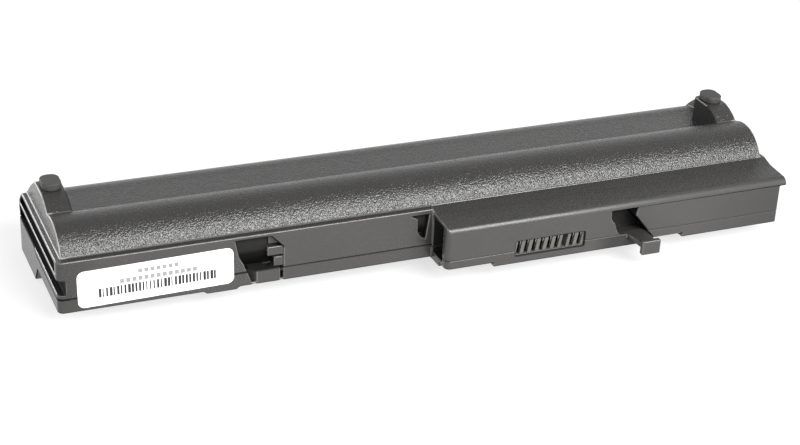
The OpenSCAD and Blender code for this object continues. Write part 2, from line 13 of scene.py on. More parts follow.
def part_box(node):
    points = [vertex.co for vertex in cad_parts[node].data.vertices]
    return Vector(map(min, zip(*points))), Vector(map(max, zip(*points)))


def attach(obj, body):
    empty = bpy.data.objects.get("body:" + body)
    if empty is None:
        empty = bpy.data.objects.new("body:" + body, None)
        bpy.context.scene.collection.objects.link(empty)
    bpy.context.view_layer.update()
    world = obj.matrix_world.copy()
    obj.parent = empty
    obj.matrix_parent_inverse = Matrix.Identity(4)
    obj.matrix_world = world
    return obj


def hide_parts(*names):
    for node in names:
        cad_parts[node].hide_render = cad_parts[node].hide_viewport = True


bl_info = {
    "name": "Laptop Battery",
    "version": (1, 0, 0),
    "blender": (4, 5, 0),
    "location": "View3D > Sidebar > Battery",
    "description": "Finishes for a laptop battery's case, label, feet, connector and cells",
    "category": "Object",
}

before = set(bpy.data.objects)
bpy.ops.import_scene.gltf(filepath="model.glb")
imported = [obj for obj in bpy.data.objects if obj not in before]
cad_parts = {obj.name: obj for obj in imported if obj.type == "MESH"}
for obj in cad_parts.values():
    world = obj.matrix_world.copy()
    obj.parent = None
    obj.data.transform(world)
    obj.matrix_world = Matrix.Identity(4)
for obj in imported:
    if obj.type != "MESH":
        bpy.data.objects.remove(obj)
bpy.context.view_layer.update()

MM = 0.001
LABEL_LOW, LABEL_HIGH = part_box("label")

CONTACT_NODES = sorted(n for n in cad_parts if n.startswith("contact_"))
CELL_NODES = sorted(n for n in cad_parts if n.startswith("cell_"))
PAPER_NODES = sorted(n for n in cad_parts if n.startswith(("ring_", "end_paper")))
STRIP_NODES = sorted(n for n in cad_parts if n.startswith("strip_"))
FOAM_NODES = sorted(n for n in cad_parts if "foam" in n)
CHIP_NODES = ["gauge_chip", "guard_chip", "mosfet_charge", "mosfet_discharge", "sense_resistor"]
CAPACITOR_NODES = ["capacitor_1", "capacitor_2", "capacitor_3"]

# Corners of a copied CAD node that lie this close together become one, and faces of the
# larger pieces that meet at less than this angle
JOIN_DISTANCE = 0.05 * MM
SMALL_JOIN_DISTANCE = 0.002 * MM
FLAT_ANGLE = math.radians(0.3)
# Edges sharper than the first angle are rounded, and edges sharper than the second stay
# sharp in the shading
ROUNDED_ANGLE = math.radians(25)
SHARP_ANGLE = math.radians(55)
# Rounding of the contacts' metal
CONTACT_EDGE = 0.03 * MM

# Heights of the contact slots' ends, in millimetres
SLOT_ENDS = (6.9, 11.0)
# How far the slots lean to the right per millimetre of height
SLOT_LEAN = 0.18
# How far beyond the slots' ends a corner still counts as theirs
SLOT_MARGIN = 0.05
# How far from a level's height its corners may lie
LEVEL_MARGIN = 0.02
# The housing is upright above this height
HOUSING_CEILING = SLOT_ENDS[1] + SLOT_MARGIN

# The boxes below are given by their lowest and their highest corner, in millimetres.

# The sill that closes the left hook's niche from below
SILL = ((-54.0, -15.3, 4.83), (-43.6, -11.0, 5.4))
# The connector's window in the block's front, with its edges
WINDOW = ((18.5, -25.53, 6.4), (40.4, -23.5, 11.5))
# The block's parting line, which hardly shows
BLOCK_SEAM = ((-2.0, -26.0, 7.6), (103.0, -15.5, 8.8))
# The case's dull places: painted shade darkens the niches, the pocket and the window, and along
# the parting line the darker colour is the dark joint
RECESSES = [
    # The back and the left side of the left hook's niche
    ((-57.5, -13.9, 8.9), (-44.3, -5.0, 18.2)),
    ((-57.5, -15.2, 8.9), (-50.0, -5.0, 18.2)),
    # The small niche beside the block, and the pocket in the block's side
    ((-8.0, -15.2, 9.0), (-2.7, -12.5, 18.2)),
    ((-1.5, -22.6, 6.9), (2.2, -16.1, 17.4)),
    # The right hook's niche
    ((47.7, -25.2, 8.3), (59.6, -19.9, 16.0)),
    WINDOW,
    # The parting line, which steps up to the rear row
    ((-104.5, -15.9, 8.45), (104.5, 9.65, 9.15)),
    ((-104.5, 9.6, 8.45), (104.5, 13.1, 10.55)),
    ((-104.5, 12.0, 9.85), (104.5, 33.0, 10.55)),
]
# The dull places that both ends have, as they lie at the right end, where the darker colour is
# painted shade: the two guide grooves and the inner side of the lug
END_RECESSES = [
    ((101.9, -27.0, 10.1), (103.8, 33.0, 14.1)),
    ((101.9, -14.0, 14.9), (103.8, 33.0, 18.4)),
    ((94.5, 1.0, 17.0), (96.4, 22.0, 27.4)),
]
# The case's materials, in the order of their slots
PLAIN, SHADED_RECESS, HIGHLIT_EDGE = range(3)
# A rounded edge that looks down further than this gets the recess plastic's painted shade
# instead of the edges' painted highlight; -1 is straight down
UNDERSIDE = -0.1

# Where the plastic's finishes change. A pair gives where a change starts and where it is
# complete: a place in millimetres, or how far a face looks up.

# Only faces that look up have grain, and it ends before the block's rounded front edge
GRAIN_FACING = (0.12, 0.32)
GRAIN_END = (-24.4, -23.8)
# That edge is duller than the rest, the more so towards the right
EDGE_DULLNESS = 0.08
RIGHT_DULLNESS = 0.3
RIGHT_DULLING = (20, 80)
# Upright faces get painted shade that darkens them by this share towards the two ends of the
# case
END_SHADE = 0.3
LEFT_SHADING = (-90, -102)
RIGHT_SHADING = (72, 100)
# The block's front, from its lowest to its highest y, gets a painted shadow of the right hook
# that darkens it by this share, up to the height and the right end given here
BLOCK_FRONT = (-26, -25)
HOOK_SHADE = 0.6
HOOK_SHADING = (42, 49)
HOOK_SHADE_RIGHT = 57
HOOK_SHADE_TOP = 8.2
# Recesses further than this from the middle are the guide grooves, painted nearly black as
# shade, and so is a recess's face that looks down
GROOVES = 101
LOOKING_DOWN = (-0.05, -0.2)
# The rails between the guide grooves, with the palest painted highlight
RAIL_X = (100.5, 101.5)
RAIL_Y = (-14.5, -12.0)

# Grain of moulded plastic: how much larger its coarse part is than its fine part, the fine
# part's share of its depth, how much of the depth the smooth faces keep, and the size of
# the glossier and duller patches
COARSER = 2.6
FINE_SHARE = 0.75
SMOOTH_SHARE = 0.15
PATCH_SIZE = 14.0
# The depth of the grain in a recess, as a share of the depth outside
RECESS_GRAIN = 0.2
# Size and depth of the unevenness on the edges with the painted highlight
EDGE_SPECKLE_SIZE = 1.8
EDGE_SPECKLE_DEPTH = 0.01
# Size and depth of the speckle on the contacts, and where the painted glint on their tips
# starts: by height, and in front of this place on their leaves, with the glint's colour
PLATING_SIZE = 0.15
PLATING_DEPTH = 0.004
GLINT_Z = (9.3, 9.9)
GLINT_BACK = -24.0
GLINT_COLOUR = (0.9, 0.86, 0.76, 1)

# The label's print, in millimetres to the right of and above its middle: fields given by
# their left, right, lower and upper ends
BAR_FIELD = (-15.2, 16.2, -2.95, -0.35)
LOWER_ROW = (-9.6, 11.2, 0.2, 1.5)
UPPER_ROW = (-4.8, 6.4, 2.4, 3.6)
# A bar takes up at least the first share of its column, and up to the second share more
BAR_SHARE = 0.35
BAR_SPREAD = 0.5
# Length of a dash with its gap, the dash's share of it, and how strong its ink is
DASH_PITCH = 1.6
DASH_SHARE = 0.7
DASH_INK = 0.75
# Size and depth of the unevenness of the label's film
FILM_SIZE = 0.5
FILM_DEPTH = 0.004

# The finishes of what lies inside: nodes, name, colour, size of the speckle, contrast,
# roughness, depth of the speckle, and 1 for metal
INSIDE_FINISHES = [
    (CELL_NODES, "cell_sleeve", (0.03, 0.16, 0.34), 0.6, 0.06, 0.28, 0.004, 0.0),
    (PAPER_NODES, "insulating_paper", (0.76, 0.71, 0.55), 0.3, 0.1, 0.8, 0.03, 0.0),
    (STRIP_NODES, "nickel", (0.60, 0.59, 0.56), 0.4, 0.1, 0.32, 0.006, 1.0),
    (FOAM_NODES, "foam", (0.07, 0.07, 0.07), 0.5, 0.3, 0.9, 0.1, 0.0),
    (["circuit_board"], "board_mask", (0.012, 0.11, 0.035), 0.8, 0.12, 0.35, 0.01, 0.0),
    (CHIP_NODES, "chip_epoxy", (0.014, 0.014, 0.015), 0.12, 0.2, 0.5, 0.01, 0.0),
    (["fuse"], "fuse_ceramic", (0.80, 0.80, 0.74), 0.4, 0.04, 0.35, 0.004, 0.0),
    (CAPACITOR_NODES, "capacitor_ceramic", (0.46, 0.32, 0.15), 0.3, 0.1, 0.45, 0.005, 0.0),
    (["thermal_cutoff"], "cutoff_steel", (0.66, 0.66, 0.64), 0.3, 0.08, 0.35, 0.006, 1.0),
    (["thermistor"], "thermistor_epoxy", (0.42, 0.03, 0.02), 0.3, 0.08, 0.3, 0.005, 0.0),
]
# The leads differ only in colour. The numbers stand in the order of the table above.
LEAD_FINISH = (0.4, 0.08, 0.4, 0.005, 0.0)
LEAD_COLOURS = {
    "lead_positive": (0.50, 0.02, 0.02),
    "lead_negative": (0.015, 0.015, 0.015),
    "sense_lead_1": (0.60, 0.42, 0.02),
    "sense_lead_2": (0.03, 0.14, 0.45),
}

# The area lights: name, azimuth to the right of the front and elevation in degrees,
# width and height, and the setting that holds the brightness
SOFTBOXES = [
    ("front_softbox", 19, 35, 0.75, 0.6, "softbox"),
    ("left_softbox", -80, 30, 0.8, 0.8, "side_box"),
    ("rim_softbox", -152, 14, 0.6, 0.5, "rim_box"),
]
LIGHT_DISTANCE = 1.2
LIGHT_TARGET = Vector((0, 0, 0.01))
FLOOR_SIZE = 8
FLOOR_COLOUR = (0.90, 0.90, 0.90, 1)
# How much of the floor's shading an even white replaces, for the camera and in gloss
FLOOR_GLOW = 0.7
WHITE = (1, 1, 1, 1)
BLACK = (0, 0, 0, 1)
# The room that surrounds the object, by how far a direction points up
ROOM_STOPS = [
    (0.0, (0.95, 0.95, 0.95, 1)), (0.45, (0.9, 0.9, 0.9, 1)),
    (0.80, (0.35, 0.35, 0.35, 1)), (1.0, (0.30, 0.30, 0.30, 1)),
]
SENSOR_WIDTH = 36
CLIP_START = 0.01

# Places of a Mix node's colour sockets, whose names also stand for other kinds of data
MIX_FACTOR, MIX_FIRST, MIX_SECOND, MIX_RESULT = 0, 6, 7, 2


class Value:
    """A shader output that can be used in arithmetic."""

    def __init__(self, finish, socket):
        self.finish = finish
        self.socket = socket

    def math(self, operation, first, second=None):
        sockets = {0: first} if second is None else {0: first, 1: second}
        return self.finish.node("ShaderNodeMath", {"operation": operation}, sockets)

    def __add__(self, other):
        return self.math("ADD", self, other)

    __radd__ = __add__

    def __sub__(self, other):
        return self.math("SUBTRACT", self, other)

    def __rsub__(self, other):
        return self.math("SUBTRACT", other, self)

    def __mul__(self, other):
        return self.math("MULTIPLY", self, other)

    __rmul__ = __mul__

    def __truediv__(self, other):
        return self.math("DIVIDE", self, other)

    def __gt__(self, other):
        return self.math("GREATER_THAN", self, other)

    def __lt__(self, other):
        return self.math("LESS_THAN", self, other)

    def __abs__(self):
        return self.math("ABSOLUTE", self)

    def floor(self):
        return self.math("FLOOR", self)

    def fraction(self):
        return self.math("FRACT", self)

    def between(self, low, high):
        """1 where the value lies between low and high, and 0 elsewhere."""
        return (self > low) * (self < high)

    def ease(self, start, end):
        """Goes smoothly from 0 at start to 1 at end."""
        settings = {"interpolation_type": "SMOOTHSTEP"}
        return self.finish.node("ShaderNodeMapRange", settings, {0: self, 1: start, 2: end})

    def swing(self, spread):
        """Noise, which lies around 0.5, as a value that swings around 0."""
        return (self - 0.5) * spread


class Finish:
    """A material, or the world, and the nodes in it."""

    def __init__(self, owner):
        owner.use_nodes = True
        self.tree = owner.node_tree
        self.tree.nodes.clear()

    def make(self, kind, settings=None, sockets=None):
        """Adds a node: its settings first, then a number, colour or link for each socket."""
        node = self.tree.nodes.new(kind)
        for name, value in (settings or {}).items():
            if name == "stops":
                self.set_stops(node.color_ramp, value)
            else:
                setattr(node, name, value)
        for name, value in (sockets or {}).items():
            if isinstance(value, Value):
                self.tree.links.new(value.socket, node.inputs[name])
            else:
                node.inputs[name].default_value = value
        return node

    def node(self, kind, settings=None, sockets=None, output=0):
        """Adds a node and gives one of its outputs."""
        return Value(self, self.make(kind, settings, sockets).outputs[output])

    @staticmethod
    def set_stops(ramp, stops):
        while len(ramp.elements) < len(stops):
            ramp.elements.new(0.5)
        for element, (place, colour) in zip(ramp.elements, stops):
            element.position = place
            element.color = colour

    def axes(self, vector):
        """The x, y and z of a vector."""
        split = self.make("ShaderNodeSeparateXYZ", None, {0: vector})
        return [Value(self, output) for output in split.outputs]

    def place(self):
        """The point in millimetres in the part's own frame, and its x, y and z."""
        point = self.node("ShaderNodeTexCoord", output="Object")
        scale = {0: point, "Scale": 1 / MM}
        scaled = self.node("ShaderNodeVectorMath", {"operation": "SCALE"}, scale)
        return scaled, self.axes(scaled)

    def facing(self):
        """The x, y and z of the direction in which the surface looks, in the part's frame."""
        return self.axes(self.node("ShaderNodeTexCoord", output="Normal"))

    def noise(self, point, size, detail=2.0, roughness=0.5):
        """Noise with features of about the given size in millimetres."""
        sockets = {"Vector": point, "Scale": 1 / size, "Detail": detail, "Roughness": roughness}
        return self.node("ShaderNodeTexNoise", None, sockets, "Fac")

    def speckle(self, point, size):
        """Noise with more fine detail on its features."""
        return self.noise(point, size, detail=3.0, roughness=0.6)

    def mix(self, factor, first, second):
        """A colour between the first, at factor 0, and the second, at factor 1."""
        sockets = {MIX_FACTOR: factor, MIX_FIRST: first, MIX_SECOND: second}
        return self.node("ShaderNodeMix", {"data_type": "RGBA"}, sockets, MIX_RESULT)

    def tones(self, factor, colour, dark, pale):
        """A shade of the colour: dark at factor 0, pale at factor 1."""
        return self.mix(factor, shade(colour, dark), shade(colour, pale))

    def bump(self, height, depth):
        """A bumped normal: depth is the height of a full step, in millimetres."""
        sockets = {"Height": height, "Distance": depth * MM, "Strength": 1.0}
        return self.node("ShaderNodeBump", None, sockets, "Normal")

    def surface(self, sockets):
        """The Principled shader with these sockets, wired to the output."""
        shader = self.node("ShaderNodeBsdfPrincipled", None, sockets)
        self.make("ShaderNodeOutputMaterial", None, {"Surface": shader})


def shade(colour, factor):
    """A colour with alpha, made lighter or darker."""
    return tuple(min(1.0, c * factor) for c in colour[:3]) + (1.0,)


def new_material(name):
    """A new material, and the finish to fill it with."""
    material = bpy.data.materials.new(name)
    return material, Finish(material)


def put_on(piece, *materials):
    """Gives a piece these materials and no others."""
    piece.data.materials.clear()
    for material in materials:
        piece.data.materials.append(material)


def grained_plastic(name, colour, roughness, grain, depth, satin=1.0, smudge=0.12):
    """Moulded plastic: spark-eroded grain of this size and depth on what looks up, and patches
    whose roughness differs by smudge. The upright faces come from a smoother part of the mould,
    and their colour is made paler by the given factor, which is painted light. They also get
    painted shade towards the ends of the case and a painted shadow under the right hook."""
    material, finish = new_material(name)
    point, (x, y, z) = finish.place()
    fine = finish.noise(point, grain, detail=1.0)
    coarse = finish.noise(point, grain * COARSER)
    patches = finish.noise(point, PATCH_SIZE)
    grained = finish.facing()[2].ease(*GRAIN_FACING)
    away = y.ease(*GRAIN_END)
    duller = (1 - away) * (x.ease(*RIGHT_DULLING) * RIGHT_DULLNESS + EDGE_DULLNESS)
    # Painted shadow of the right hook on the block's front
    painted_hook_shadow = (x.ease(*HOOK_SHADING) * (z < HOOK_SHADE_TOP) * (x < HOOK_SHADE_RIGHT)
                  * y.between(*BLOCK_FRONT))
    # Painted shade towards the two ends of the case
    ends = x.ease(*LEFT_SHADING) * END_SHADE + x.ease(*RIGHT_SHADING) * END_SHADE
    painted_shade = ends + painted_hook_shadow * HOOK_SHADE
    tint = fine.swing(0.9) + patches.swing(0.3) + 0.5
    rough_faces = finish.tones(tint, colour, dark=0.7, pale=1.3)
    # Painted light: the upright faces' colour is made paler
    painted_upright_faces = finish.tones(patches, colour, dark=satin * 0.92, pale=satin * 1.08)
    # The upright faces take the painted shade and the hook's painted shadow, fading towards
    # black
    painted_upright_faces = finish.mix(painted_shade, painted_upright_faces, BLACK)
    relief = fine * FINE_SHARE + coarse * (1 - FINE_SHARE)
    share = grained * away * (1 - SMOOTH_SHARE) + SMOOTH_SHARE
    finish.surface({
        "Base Color": finish.mix(grained, painted_upright_faces, rough_faces),
        "Roughness": patches.swing(smudge) + fine.swing(0.08) + duller + roughness,
        "Normal": finish.bump(relief * share, depth),
    })
    return material


def shaded_recess_plastic(name, colour, grain, depth):
    """The plastic in a recess, where the mould was left rough: hardly any gloss, and a colour
    darkened as painted shade, nearly black in the guide grooves and on what looks down; along
    the parting line the same colour is the dark joint."""
    material, finish = new_material(name)
    point, (x, _, _) = finish.place()
    fine = finish.noise(point, grain)
    # Painted shade: the recess colour is darkened
    niche = finish.tones(fine, colour, dark=0.4, pale=0.65)
    # Painted shade, nearly black, for the guide grooves and for faces that look down
    groove = finish.tones(fine, colour, dark=0.08, pale=0.16)
    painted_deep_shade = (abs(x) > GROOVES) + finish.facing()[2].ease(*LOOKING_DOWN)
    finish.surface({
        "Base Color": finish.mix(painted_deep_shade, niche, groove),
        "Roughness": fine.swing(0.2) + 0.6,
        "Specular IOR Level": 0.1,
        "Normal": finish.bump(fine, depth),
    })
    return material


def painted_highlight_plastic(name, colour, shine):
    """The plastic on the rounded edges: made paler by shine as a painted highlight, smooth and
    a little uneven, and palest on the rails between the guide grooves."""
    material, finish = new_material(name)
    point, (x, y, _) = finish.place()
    edge_speckle = finish.speckle(point, EDGE_SPECKLE_SIZE)
    edge = finish.tones(edge_speckle, colour, dark=shine * 0.6, pale=shine * 1.4)
    rail = finish.tones(edge_speckle, colour, dark=shine * 2.4, pale=shine * 4.8)
    on_rail = abs(x).ease(*RAIL_X) * y.ease(*RAIL_Y)
    finish.surface({
        "Base Color": finish.mix(on_rail, edge, rail),
        "Roughness": edge_speckle.swing(0.2) + 0.24,
        "Normal": finish.bump(edge_speckle, EDGE_SPECKLE_DEPTH),
    })
    return material


def glint_plating(name, colour):
    """Dull plating, with a painted glint at the upper front ends of the contacts' leaves."""
    material, finish = new_material(name)
    point, (_, y, z) = finish.place()
    grain = finish.speckle(point, PLATING_SIZE)
    # Painted glint at the leaves' upper front ends
    painted_glint = z.ease(*GLINT_Z) * (y < GLINT_BACK)
    dull = finish.tones(grain, colour, dark=0.9, pale=1.1)
    finish.surface({
        "Base Color": finish.mix(painted_glint, dull, GLINT_COLOUR),
        "Roughness": grain.swing(0.15) + 0.3,
        "Metallic": 1.0,
        "Normal": finish.bump(grain, PLATING_DEPTH),
    })
    return material


def speckled(name, colour, size, contrast, roughness, depth, metallic=0.0):
    """A plain finish with a fine speckle in its colour and its surface."""
    material, finish = new_material(name)
    point, _ = finish.place()
    grain = finish.speckle(point, size)
    finish.surface({
        "Base Color": finish.tones(grain, colour, 1 - contrast, 1 + contrast),
        "Roughness": grain.swing(0.15) + roughness,
        "Metallic": metallic,
        "Normal": finish.bump(grain, depth),
    })
    return material


def inside(point, low, high):
    """Whether a point lies in a box."""
    return all(a < p < b for p, a, b in zip(point, low, high))


def mirrored(low, high):
    """The same box at the other end of the case."""
    return (-high[0],) + low[1:], (-low[0],) + high[1:]


def select_only(piece):
    bpy.ops.object.select_all(action="DESELECT")
    piece.select_set(True)
    bpy.context.view_layer.objects.active = piece


def round_edges(piece, radius, segments):
    """Rounds the sharp edges and keeps flat faces evenly shaded. The rounded edges take the
    piece's last material."""
    bevel = piece.modifiers.new("rounding", "BEVEL")
    bevel.material = len(piece.data.materials) - 1
    bevel.width = radius
    bevel.segments = segments
    bevel.limit_method = "ANGLE"
    bevel.angle_limit = ROUNDED_ANGLE
    bevel.miter_outer = "MITER_ARC"
    bevel.use_clamp_overlap = False
    select_only(piece)
    bpy.ops.object.modifier_apply(modifier=bevel.name)
    bpy.ops.object.shade_smooth_by_angle(angle=SHARP_ANGLE)
    even = piece.modifiers.new("even_shading", "WEIGHTED_NORMAL")
    even.keep_sharp = True
    bpy.ops.object.modifier_apply(modifier=even.name)


def add_sill(piece):
    """Joins the sill to the piece, as a box."""
    low, high = (Vector(corner) * MM for corner in SILL)
    bpy.ops.mesh.primitive_cube_add(size=1, location=(low + high) / 2, scale=high - low)
    block = bpy.context.object
    bpy.ops.object.transform_apply()
    select_only(piece)
    block.select_set(True)
    bpy.ops.object.join()


def lean_slots(piece, ceiling=math.inf):
    """Leans what lies between the slots' lower ends and the ceiling to the right, one level
    of corners after the other."""
    select_only(piece)
    bpy.ops.object.mode_set(mode="EDIT")
    bpy.ops.mesh.select_mode(type="VERT")
    middle = sum(SLOT_ENDS) / 2
    for level in sorted({round(vertex.co.z / MM, 2) for vertex in piece.data.vertices}):
        if SLOT_ENDS[0] - SLOT_MARGIN < level < ceiling:
            bpy.ops.mesh.select_all(action="DESELECT")
            bpy.ops.object.mode_set(mode="OBJECT")
            for vertex in piece.data.vertices:
                vertex.select = abs(vertex.co.z / MM - level) < LEVEL_MARGIN
            bpy.ops.object.mode_set(mode="EDIT")
            push = (min(level, SLOT_ENDS[1]) - middle) * SLOT_LEAN
            bpy.ops.transform.translate(value=(push * MM, 0, 0))
    bpy.ops.object.mode_set(mode="OBJECT")


def lean_housing(piece):
    """Leans the housing's slots, and leaves what lies above them upright."""
    lean_slots(piece, HOUSING_CEILING)


def moulded_copy(node, name, materials, radius, segments=2, flatten=True, shape=None):
    """A joined-up copy of a CAD node with rounded edges, which stands for it. The function
    shape changes it before its edges are rounded. Flattening joins its small faces too."""
    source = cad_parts[node]
    piece = bpy.data.objects.new(name, source.data.copy())
    bpy.context.scene.collection.objects.link(piece)
    select_only(piece)
    bpy.ops.object.mode_set(mode="EDIT")
    bpy.ops.mesh.select_all(action="SELECT")
    bpy.ops.mesh.remove_doubles(threshold=JOIN_DISTANCE if flatten else SMALL_JOIN_DISTANCE)
    if flatten:
        bpy.ops.mesh.dissolve_limited(angle_limit=FLAT_ANGLE, delimit={"NORMAL"})
    bpy.ops.object.mode_set(mode="OBJECT")
    if shape:
        shape(piece)
    put_on(piece, *materials)
    round_edges(piece, radius, segments)
    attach(piece, "root")
    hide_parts(node)
    return piece


class CaseSettings(bpy.types.PropertyGroup):
    colour: bpy.props.FloatVectorProperty(
        name="Case colour", description="Colour of the case's plastic",
        subtype="COLOR", size=3, default=(0.0265, 0.0255, 0.0248))
    edge_radius: bpy.props.FloatProperty(
        name="Edge radius", description="Rounding of the case's edges",
        subtype="DISTANCE", unit="LENGTH", default=0.3 * MM)
    grain: bpy.props.FloatProperty(
        name="Grain", description="Size of the plastic's grain in millimetres", default=0.42)
    grain_depth: bpy.props.FloatProperty(
        name="Grain depth", description="Depth of the grain in millimetres", default=0.28)
    roughness: bpy.props.FloatProperty(
        name="Roughness", description="Roughness of the plastic", default=0.26)
    # Painted highlight: how much paler the rounded edges are
    edge_shine: bpy.props.FloatProperty(
        name="Edge shine", description="How much paler the worn edges are", default=3.0)
    # Painted light: the factor that makes the smooth upright faces' colour paler
    satin: bpy.props.FloatProperty(
        name="Satin", description="How much paler the smooth upright faces are", default=1.5)


class LabelSettings(bpy.types.PropertyGroup):
    paper: bpy.props.FloatVectorProperty(
        name="Label colour", description="Colour of the label's film",
        subtype="COLOR", size=3, default=(0.86, 0.86, 0.85))
    ink: bpy.props.FloatVectorProperty(
        name="Ink colour", description="Colour of the print",
        subtype="COLOR", size=3, default=(0.012, 0.012, 0.014))
    bar_pitch: bpy.props.FloatProperty(
        name="Bar pitch", description="Distance between the bars in millimetres",
        default=0.95)
    turn: bpy.props.FloatProperty(
        name="Label turn", description="How far the label sits askew",
        subtype="ANGLE", default=math.radians(1.0))


class FootSettings(bpy.types.PropertyGroup):
    colour: bpy.props.FloatVectorProperty(
        name="Foot colour", description="Colour of the rubber feet",
        subtype="COLOR", size=3, default=(0.033, 0.032, 0.031))
    edge_radius: bpy.props.FloatProperty(
        name="Foot edge radius", description="Rounding of the feet",
        subtype="DISTANCE", unit="LENGTH", default=0.35 * MM)


class ConnectorSettings(bpy.types.PropertyGroup):
    colour: bpy.props.FloatVectorProperty(
        name="Housing colour", description="Colour of the connector's plastic",
        subtype="COLOR", size=3, default=(0.085, 0.083, 0.078))
    metal: bpy.props.FloatVectorProperty(
        name="Contact colour", description="Colour of the contacts' plating",
        subtype="COLOR", size=3, default=(0.17, 0.15, 0.12))
    edge_radius: bpy.props.FloatProperty(
        name="Housing edge radius", description="Rounding of the housing's edges",
        subtype="DISTANCE", unit="LENGTH", default=0.08 * MM)


class StageSettings(bpy.types.PropertyGroup):
    lens: bpy.props.FloatProperty(
        name="Lens", description="Focal length of the camera in millimetres", default=82.4)
    azimuth: bpy.props.FloatProperty(
        name="Azimuth", description="How far the camera stands to the left",
        subtype="ANGLE", default=math.radians(23.3))
    elevation: bpy.props.FloatProperty(
        name="Elevation", description="How far the camera looks down",
        subtype="ANGLE", default=math.radians(27.2))
    roll: bpy.props.FloatProperty(
        name="Roll", description="How far the camera leans",
        subtype="ANGLE", default=math.radians(2.7))
    eye: bpy.props.FloatVectorProperty(
        name="Eye", description="Where the camera stands",
        subtype="XYZ", unit="LENGTH", size=3, default=(-0.18383, -0.41625, 0.24106))
    softbox: bpy.props.FloatProperty(
        name="Softbox", description="Brightness of the softbox in front", default=18.5)
    side_box: bpy.props.FloatProperty(
        name="Side box", description="Brightness of the softbox at the left", default=1.5)
    rim_box: bpy.props.FloatProperty(
        name="Rim box", description="Brightness of the softbox behind, at the left",
        default=7.0)


class BatterySettings(bpy.types.PropertyGroup):
    case: bpy.props.PointerProperty(type=CaseSettings)
    label: bpy.props.PointerProperty(type=LabelSettings)
    foot: bpy.props.PointerProperty(type=FootSettings)
    connector: bpy.props.PointerProperty(type=ConnectorSettings)
    stage: bpy.props.PointerProperty(type=StageSettings)


def settings():
    return bpy.context.scene.battery


class BATTERY_OT_case(bpy.types.Operator):
    """Makes both halves of the case, with rounded edges and grained plastic."""

    bl_idname = "battery.case"
    bl_label = "Make the case"

    def execute(self, context):
        case = settings().case
        plastic = grained_plastic(
            "case_plastic", case.colour, case.roughness, case.grain, case.grain_depth,
            case.satin)
        dull = shaded_recess_plastic(
            "recess_plastic", case.colour, case.grain, case.grain_depth * RECESS_GRAIN)
        painted_highlight = painted_highlight_plastic("edge_plastic", case.colour, case.edge_shine)
        recesses = RECESSES + END_RECESSES + [mirrored(*box) for box in END_RECESSES]
        for node, shape in (("upper_shell", None), ("lower_shell", add_sill)):
            piece = moulded_copy(
                node, "moulded_" + node, (plastic, dull, painted_highlight), case.edge_radius,
                segments=3, shape=shape)
            self.share_out(piece, recesses)
        return {"FINISHED"}

    def share_out(self, piece, recesses):
        """Gives the recesses the dull plastic with its painted shade, and the block's parting
        line the plain plastic outside the window. Elsewhere the rounded edges keep their
        painted highlight, unless they look down, where they get the painted shade."""
        for face in piece.data.polygons:
            centre = face.center / MM
            if inside(centre, *BLOCK_SEAM) and not inside(centre, *WINDOW):
                face.material_index = PLAIN
            elif any(inside(centre, *box) for box in recesses):
                face.material_index = SHADED_RECESS
            elif face.material_index == HIGHLIT_EDGE and face.normal.z < UNDERSIDE:
                face.material_index = SHADED_RECESS


class BATTERY_OT_label(bpy.types.Operator):
    """Prints neutral bars and dashes on the label."""

    bl_idname = "battery.label"
    bl_label = "Make the label"

    def execute(self, context):
        label = settings().label
        material, finish = new_material("label_print")
        point, (x, _, z) = finish.place()
        middle = (LABEL_LOW + LABEL_HIGH) / 2 / MM
        c, s = math.cos(label.turn), math.sin(label.turn)
        along = (x - middle.x) * c + (z - middle.z) * s
        up = (z - middle.z) * c - (x - middle.x) * s

        def field(left, right, lower, upper):
            return along.between(left, right) * up.between(lower, upper)

        column = along / label.bar_pitch
        width = finish.node(
            "ShaderNodeTexWhiteNoise", {"noise_dimensions": "1D"}, {"W": column.floor()})
        bars = column.fraction() < width * BAR_SPREAD + BAR_SHARE
        dashes = (along / DASH_PITCH).fraction() < DASH_SHARE
        rows = field(*LOWER_ROW) + field(*UPPER_ROW)
        ink = bars * field(*BAR_FIELD) + dashes * rows * DASH_INK
        film = finish.noise(point, FILM_SIZE)
        finish.surface({
            "Base Color": finish.mix(ink, shade(label.paper, 1.0), shade(label.ink, 1.0)),
            "Roughness": film.swing(0.1) + 0.42,
            "Normal": finish.bump(film, FILM_DEPTH),
        })
        put_on(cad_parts["label"], material)
        return {"FINISHED"}


class BATTERY_OT_feet(bpy.types.Operator):
    """Makes the two rubber feet."""

    bl_idname = "battery.feet"
    bl_label = "Make the feet"

    def execute(self, context):
        foot = settings().foot
        rubber = speckled(
            "foot_rubber", foot.colour, size=0.7, contrast=0.4, roughness=0.6, depth=0.12)
        for side in ("left", "right"):
            piece = moulded_copy(
                "foot_pad_" + side, "rubber_foot_" + side, [rubber], foot.edge_radius,
                segments=3)
        return {"FINISHED"}


class BATTERY_OT_connector(bpy.types.Operator):
    """Makes the connector's housing and its plated contacts."""

    bl_idname = "battery.connector"
    bl_label = "Make the connector"

    def execute(self, context):
        connector = settings().connector
        plastic = grained_plastic(
            "connector_plastic", connector.colour, roughness=0.35, grain=0.2, depth=0.02)
        piece = moulded_copy(
            "connector_housing", "moulded_housing", [plastic], connector.edge_radius,
            flatten=False, shape=lean_housing)
        plating = glint_plating("contact_plating", connector.metal)
        for node in CONTACT_NODES:
            fork = moulded_copy(
                node, "fork_" + node, [plating], CONTACT_EDGE,
                flatten=False, shape=lean_slots)
        return {"FINISHED"}


